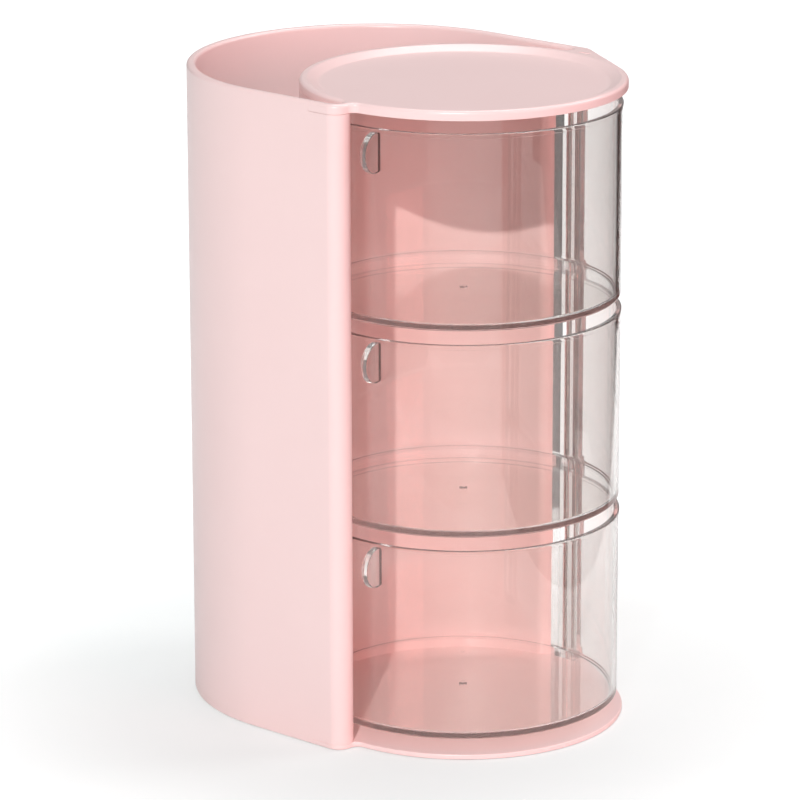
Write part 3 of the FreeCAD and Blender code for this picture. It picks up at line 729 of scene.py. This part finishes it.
# %% Pads
pad_path = (
    ("line", PAD_R - 0.3, 0),
    ("arc", PAD_R - 0.3, 0.3, 90, 4),
    ("line", PAD_R, 1.0),
    ("line", 0, 1.0),
)
pad = lathe("pad", (0, 0), pad_path, steps=96)
smooth(pad)
for name, (x, y) in PADS.items():
    one = set_down(pad, x, y)
    one.name = one.data.name = name + "_disc"
    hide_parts(name)
    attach(one, "stand")
bpy.data.objects.remove(pad)

# %% [markdown]
# ## Node maths in Python
#
# A finish is a small network of shader nodes. `Value` wraps one socket, so that an ordinary
# expression on values adds its Math nodes. `Finish.node` makes any other node from its
# type, its settings, which are set first, and the values or links of its sockets.


# %% Values and finishes
class Value:
    """A socket that takes Python's operators."""

    def __init__(self, finish, socket):
        self.finish, self.socket = finish, socket

    def _math(self, operation, other):
        return self.finish.node("Math", {"operation": operation}, {0: self, 1: other})

    def __add__(self, other):
        return self._math("ADD", other)

    def __mul__(self, other):
        return self._math("MULTIPLY", other)

    __radd__, __rmul__ = __add__, __mul__


class Finish:
    """A material and the one method that makes its nodes."""

    def __init__(self, name):
        self.material = bpy.data.materials.new(name)
        self.material.use_nodes = True
        self.tree = self.material.node_tree
        self.tree.nodes.clear()
        self.object_place = self.node("TexCoord", output="Object")

    def node(self, kind, settings=None, inputs=None, output=0):
        made = self.tree.nodes.new("ShaderNode" + kind)
        for key, value in (settings or {}).items():
            setattr(made, key, value)
        for key, value in (inputs or {}).items():
            if isinstance(value, Value):
                self.tree.links.new(value.socket, made.inputs[key])
            else:
                made.inputs[key].default_value = value
        return Value(self, made.outputs[output])

    def ray(self, kind):
        """One for a kind of ray, such as Camera or Shadow, and nought for all others."""
        return self.node("LightPath", output="Is %s Ray" % kind)

    def noise(self, scale, detail=2.0, stretch=(1, 1, 1)):
        """Cloudy values from 0 to 1, in the object's own metres."""
        place = self.node("Mapping", None, {"Vector": self.object_place, "Scale": stretch})
        return self.node("TexNoise", None, {"Vector": place, "Scale": scale, "Detail": detail})

    def between(self, factor, first, second):
        """Colour between two, by a value."""
        settings = {"data_type": "RGBA"}
        return self.node("Mix", settings, {0: factor, 6: first, 7: second}, output=2)

    def either(self, first, second):
        """The larger of two values, so that one of two masks is enough."""
        return self.node("Math", {"operation": "MAXIMUM"}, {0: first, 1: second})

    def bump(self, height, distance, strength=1.0):
        """Normals of a fine relief, with its height in metres."""
        return self.node("Bump", None, {
            "Height": height, "Distance": distance, "Strength": strength})

    def shader(self, **inputs):
        """Principled shader, with its sockets named by keywords."""
        named = {key.replace("_", " "): value for key, value in inputs.items()}
        return self.node("BsdfPrincipled", None, named)

    def surface(self, **inputs):
        """Principled shader, linked to the material's output."""
        self.finish_with(self.shader(**inputs))

    def finish_with(self, shader):
        """Link a shader to the material's output."""
        out = self.tree.nodes.new("ShaderNodeOutputMaterial")
        self.tree.links.new(shader.socket, out.inputs["Surface"])


def srgb(red, green, blue):
    """Display colour from 0 to 255, as the linear colour that nodes take."""
    def linear(v):
        v = v / 255
        return v / 12.92 if v <= 0.04045 else ((v + 0.055) / 1.055) ** 2.4
    return (linear(red), linear(green), linear(blue), 1.0)


def dress(piece, finish):
    """Give a piece its finish as its one material."""
    piece.data.materials.clear()
    piece.data.materials.append(finish.material)
    print("%-22s wears %s" % (piece.name, finish.material.name))


# %% [markdown]
# ## Pink moulded plastic
#
# The stand is opaque pale pink plastic with a soft gloss, as a mould with a satin polish
# gives it. Its colour hardly varies, its gloss a little, and a very fine ripple breaks up
# the reflections. Between two pink walls the light takes on more of their colour at each
# bounce. A render follows only a few bounces, so that light is painted in with an ambient
# occlusion node: where other surfaces cover the plastic closely, as behind the drawers, a
# deeper, redder painted shade of bounced light is mixed in.

# %% Pink plastic
PAINTED_SHADE_REACH = 0.06  # metres within which a surface counts as a cover
pink = Finish("pink_plastic")
clouds = pink.noise(22.0, detail=3.0)
open_tone = pink.between(clouds, srgb(240, 211, 210), srgb(243, 215, 214))
# Painted shade of bounced light: a deeper, redder pink, mixed in by ambient occlusion where
# other surfaces cover the plastic.
painted_bounce_shade = pink.between(clouds, srgb(246, 206, 203), srgb(248, 210, 207))
painted_shade_ao = pink.node("AmbientOcclusion", {"samples": 6}, {"Distance": PAINTED_SHADE_REACH},
                 output="AO")
unshaded_share = pink.node("MapRange", None, {"Value": painted_shade_ao, "From Min": 0.1, "From Max": 0.6})
colour = pink.between(unshaded_share, painted_bounce_shade, open_tone)
grain = pink.noise(1800.0, detail=1.0)
ripple = pink.noise(70.0, detail=2.0)
normal = pink.bump(grain * 0.2 + ripple, 0.00001)
pink.surface(
    Base_Color=colour,
    Roughness=0.28 + 0.03 * pink.noise(60.0),
    IOR=1.5,
    Normal=normal,
)
for piece in (shell, tray, base):
    dress(piece, pink)

# %% [markdown]
# ## Clear plastic
#
# The drawers are glass-clear polystyrene. Its surfaces are polished, with slightly uneven
# walls from the moulding and a breath of haze that varies. A solid that bends light casts
# a black shadow unless light is traced through it, which is slow, so shadow rays and soft
# bounces see a thin, almost clear sheet instead.

# %% Clear plastic
clear = Finish("clear_plastic")
flow = clear.noise(26.0, detail=1.5, stretch=(1, 1, 0.35))
haze = clear.noise(90.0, detail=2.0)
glass = clear.shader(
    Base_Color=clear.between(flow, srgb(253, 252, 250), srgb(255, 254, 253)),
    Roughness=0.004 + 0.012 * haze,
    IOR=1.52,
    Transmission_Weight=1.0,
    Normal=clear.bump(flow, 0.0004, 0.15),
)
shadow, bounce = clear.ray("Shadow"), clear.ray("Diffuse")
passing = clear.either(shadow, bounce) * 0.92 + 0.08
thin = clear.node("BsdfTransparent", None, {"Color": (0.97, 0.967, 0.962, 1)})
clear.finish_with(clear.node("MixShader", None, {0: passing, 1: glass, 2: thin}))
for drawer in DRAWERS.values():
    dress(drawer, clear)

# %% [markdown]
# ## Steel and rubber
#
# The pin and screws are drawn steel: its marks run round them, so the noise is stretched
# sideways. The pads are soft grey rubber with a dull, slightly mottled skin.

# %% Steel and rubber
steel = Finish("drawn_steel")
marks = steel.noise(300.0, detail=1.0, stretch=(0.15, 0.15, 1))
steel.surface(
    Base_Color=steel.between(marks, (0.56, 0.55, 0.53, 1), (0.64, 0.63, 0.61, 1)),
    Metallic=1.0,
    Roughness=0.20 + 0.08 * marks,
    Normal=steel.bump(marks, 0.000004),
)
dress(pin, steel)
for number in range(1, len(BOSSES) + 1):
    dress(bpy.data.objects["screw_%d" % number], steel)
rubber = Finish("pad_rubber")
mottle = rubber.noise(700.0, detail=4.0)
rubber.surface(
    Base_Color=rubber.between(mottle, (0.42, 0.41, 0.40, 1), (0.52, 0.51, 0.50, 1)),
    Roughness=0.72 + 0.14 * mottle,
    Normal=rubber.bump(mottle, 0.00008),
)
for name in PADS:
    dress(bpy.data.objects[name + "_disc"], rubber)

# %% [markdown]
# ## Floor and backdrop
#
# The object stands on a white sheet that runs out behind it and bends up into the backdrop.
# It is a plane with its back edge drawn up and the fold rounded by a bevel, and at the end
# it is turned so that it lies straight before the camera. The sheet ends a short way before
# the object and at its right, so that the polished walls mirror a darker room there.

# %% Floor
HEADING = math.atan2(0.660, 0.751)  # where the camera looks, seen from above
DEPTH, WIDTH, AHEAD, RISE = 3.6, 6.0, 1.45, 3.0
TRIM_FRONT, TRIM_BACK = 2.81, 2.38  # taken off at the right
floor = start("floor", "plane", size=1, location=(0, 0, 0))
edit(floor)
bpy.ops.transform.resize(value=(DEPTH, WIDTH, 1))
bpy.ops.transform.translate(value=(AHEAD, 0, 0))
for end, trim in ((-1, TRIM_FRONT), (1, TRIM_BACK)):
    pick("verts", lambda v: v.co.y < 0 < v.co.x * end)
    bpy.ops.transform.translate(value=(0, trim, 0))
pick("edges", lambda edge: all(v.co.x > 3 for v in edge.verts))
bpy.ops.mesh.extrude_region_move(TRANSFORM_OT_translate={"value": (0, 0, RISE)})
pick("edges", lambda edge: all(v.co.x > 3 and v.co.z < 0.1 for v in edge.verts))
bpy.ops.mesh.bevel(offset=0.8, segments=12)
bpy.ops.mesh.select_all(action="SELECT")
bpy.ops.transform.rotate(value=-HEADING, orient_axis="Z", center_override=(0, 0, 0))
close()
smooth(floor)
far = max(floor.data.vertices, key=lambda v: v.co.z)
print("top of the backdrop at", [round(v, 2) for v in far.co])

# %% [markdown]
# What the camera sees of the sheet, directly and through clear plastic, is lifted towards
# white by a part of glow, so that the picture's ground is white at a plain light. Close to
# the object that part is small, and the matt part keeps the soft shadow. Reflections see
# the glow only on the stretch of floor behind the object, where it brightens the edges of
# the walls; further out it would lay a white veil on the tray.

# %% White of the floor
sheet = Finish("floor_white")
seen, shiny, through = (sheet.ray(kind) for kind in ("Camera", "Glossy", "Transmission"))
depth = sheet.node("VectorMath", {"operation": "DOT_PRODUCT"}, {
    0: sheet.object_place, 1: (math.cos(HEADING), math.sin(HEADING), 0)}, output="Value")
rises = sheet.node("MapRange", None, {
    "Value": depth, "From Min": 0.1, "From Max": 0.3, "To Max": 0.6})
falls = sheet.node("MapRange", None, {"Value": depth, "From Min": 1.7, "From Max": 1.4})
visible = sheet.either(sheet.either(seen, through), shiny * (rises * falls))
paper = sheet.noise(40.0, detail=3.0)
matt = sheet.node("BsdfDiffuse", None, {
    "Color": sheet.between(paper, (0.76, 0.80, 0.80, 1), (0.79, 0.83, 0.83, 1))})
glow = sheet.node("Emission", None, {"Color": (1, 1, 1, 1), "Strength": 1.2})
away = sheet.node("VectorMath", {"operation": "LENGTH"}, {0: sheet.object_place},
                  output="Value")
share = sheet.node("MapRange", {"interpolation_type": "SMOOTHSTEP"}, {
    "Value": away, "From Min": 0.09, "From Max": 0.23, "To Min": 0.35, "To Max": 0.95})
mix = sheet.node("MixShader", None, {0: visible * share, 1: matt, 2: glow})
sheet.finish_with(mix)
floor.data.materials.append(sheet.material)
print("floor: %d faces, on the stage" % len(floor.data.polygons))

# %% [markdown]
# ## Dark card
#
# Clear plastic before a white ground has hardly an outline. A photographer stands a dark
# card just outside the picture, and the curved wall bends a narrow strip of it into view
# along its edge. The card is a plane set upright behind the object at the right. Camera rays
# pass it, so that it shows through the plastic alone.

# %% Dark card
card = start("dark_card", "plane", size=1, location=(0, 0, 0))
edit(card)
bpy.ops.transform.resize(value=(0.12, 0.32, 1))
bpy.ops.transform.rotate(value=math.pi / 2, orient_axis="X", center_override=(0, 0, 0))
bpy.ops.transform.rotate(value=math.radians(82), orient_axis="Z", center_override=(0, 0, 0))
bpy.ops.transform.translate(value=(0.52, 0.07, 0.16))
close()
print("dark card: %d face" % len(card.data.polygons))
flag = Finish("card_black")
seen = flag.ray("Camera")
felt = flag.node("BsdfDiffuse", None, {
    "Color": flag.between(flag.noise(30.0), (0.020, 0.018, 0.017, 1), (0.032, 0.030, 0.028, 1))})
gone = flag.node("BsdfTransparent")
flag.finish_with(flag.node("MixShader", None, {0: seen, 1: felt, 2: gone}))
card.data.materials.append(flag.material)

# %% [markdown]
# ## World
#
# The room beyond the sheet is dim for all that it lights, in reflections and through clear
# plastic. Only rays straight from the camera see it white, so that the picture's ground
# stays white wherever the sheet ends.


# %% World
def background(strength):
    """White background of the given strength."""
    made = nodes.new("ShaderNodeBackground")
    made.inputs["Color"].default_value = (1, 1, 1, 1)
    made.inputs["Strength"].default_value = strength
    return made


world = bpy.data.worlds.new("studio")
bpy.context.scene.world = world
world.use_nodes = True
nodes, links = world.node_tree.nodes, world.node_tree.links
nodes.clear()
path = nodes.new("ShaderNodeLightPath")
dim, white = background(0.16), background(1.0)
choose = nodes.new("ShaderNodeMixShader")
out = nodes.new("ShaderNodeOutputWorld")
links.new(path.outputs["Is Camera Ray"], choose.inputs[0])
links.new(dim.outputs[0], choose.inputs[1])
links.new(white.outputs[0], choose.inputs[2])
links.new(choose.outputs[0], out.inputs["Surface"])
print("world: %d nodes" % len(nodes))

# %% [markdown]
# ## Lights
#
# The key is a small lamp a little to the left of the camera and thirty-two degrees up: it
# draws the sharp shadow of the left nose and of the tray on the wall behind the drawers. A
# wide sheet of light stands low at the left for the outer wall, and a smaller one further
# back lifts its outline. Soft lamps from the right and from above reach the drawers' floors
# and the tray. The fill is red, low and in front: it opens the shadows under the tray and
# gives them the warm tone that light has between pink walls. Azimuths are in degrees from
# x, and the drawers look towards -90.


# %% Lamps
def lamp(name, azimuth, elevation, distance, size, watts, colour=(1, 1, 1), height=None):
    """Area lamp, square if no height is given, that looks at the middle of the object."""
    data = bpy.data.lights.new(name, "AREA")
    data.shape, data.size, data.size_y = "RECTANGLE", size, height or size
    data.energy, data.color = watts, colour
    made = bpy.data.objects.new(name, data)
    bpy.context.collection.objects.link(made)
    a, e = math.radians(azimuth), math.radians(elevation)
    way = Vector((math.cos(a) * math.cos(e), math.sin(a) * math.cos(e), math.sin(e)))
    aim = Vector((0, AXIS_Y * MM, TOP * MM / 2))
    made.location = aim + way * distance
    made.rotation_euler = (-way).to_track_quat("-Z", "Y").to_euler()
    print("%-10s %5.1f W at" % (name, watts), [round(v, 2) for v in made.location])


lamp("key", -148.5, 32.0, 2.2, 0.03, 31.6, (0.97, 1.0, 0.995))
lamp("left_wall", -160, -4, 1.4, 3.1, 8.1, height=1.4)
lamp("left_soft", 112, 12, 1.4, 1.0, 2.3, (1.0, 0.93, 0.92))
lamp("right_soft", -30, 42, 1.6, 0.6, 7.2)
lamp("fill", -92, 11, 1.5, 0.8, 8.6, (1.0, 0.38, 0.37))
lamp("top_soft", 30, 66, 1.6, 0.8, 8.6)

# %% [markdown]
# ## Camera
#
# A small box looks best through a long lens from some way off, here from 1.6 metres away
# and a little above. Place, turn and lens were measured on the photograph. The camera looks
# along its heading, tilted down, and rolled by a trace.

# %% Camera
lens = bpy.data.cameras.new("photo_camera")
lens.lens, lens.sensor_width = 211.8, 36.0
lens.clip_start, lens.clip_end = 0.05, 50
camera = bpy.data.objects.new("photo_camera", lens)
bpy.context.collection.objects.link(camera)
camera.location = spot(-1183.9, -1011.4, 555.7)
tilt, roll = math.radians(15.93), math.radians(-0.12)
ahead = Vector((math.cos(HEADING) * math.cos(tilt), math.sin(HEADING) * math.cos(tilt),
                -math.sin(tilt)))
upright = ahead.to_track_quat("-Z", "Y").to_matrix().to_4x4()
camera.rotation_euler = upright.to_euler()
camera.rotation_euler.rotate_axis("Z", roll)
bpy.context.scene.camera = camera
bpy.context.scene.view_settings.view_transform = "Standard"
print("camera at", [round(v, 3) for v in camera.location])
